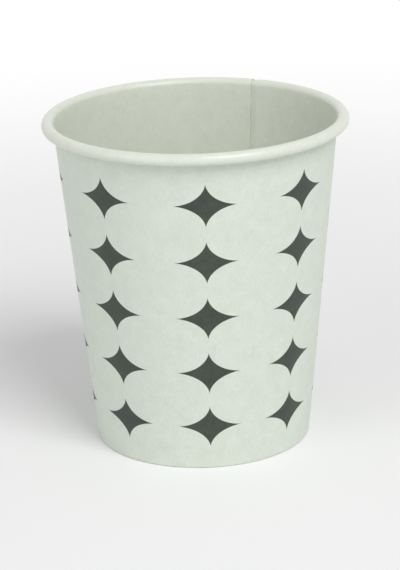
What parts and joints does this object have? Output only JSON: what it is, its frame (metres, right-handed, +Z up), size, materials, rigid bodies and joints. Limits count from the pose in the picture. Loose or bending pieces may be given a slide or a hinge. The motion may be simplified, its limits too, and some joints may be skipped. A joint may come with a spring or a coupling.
{
  "type": "paper cup",
  "caption": "Tapered paper cup for drinks, open at the top, with a rolled rim, a lapped side seam, a folded foot and a recessed base.",
  "frame": {"origin": "middle of the foot, on the surface the cup stands on", "axes": "+Z up along the cup's axis through the open mouth; the front faces -Y; the lapped side seam is at the back, between +Y and +X"},
  "size_m": [0.073, 0.073, 0.08],
  "materials": {
    "side_board": "smooth coated board, off-white, printed outside in dark grey",
    "base_board": "smooth coated board, off-white, unprinted"
  },
  "bodies": {
    "root": {"side_wall": "side_board", "base_disc": "base_board"}
  },
  "joints": []
}
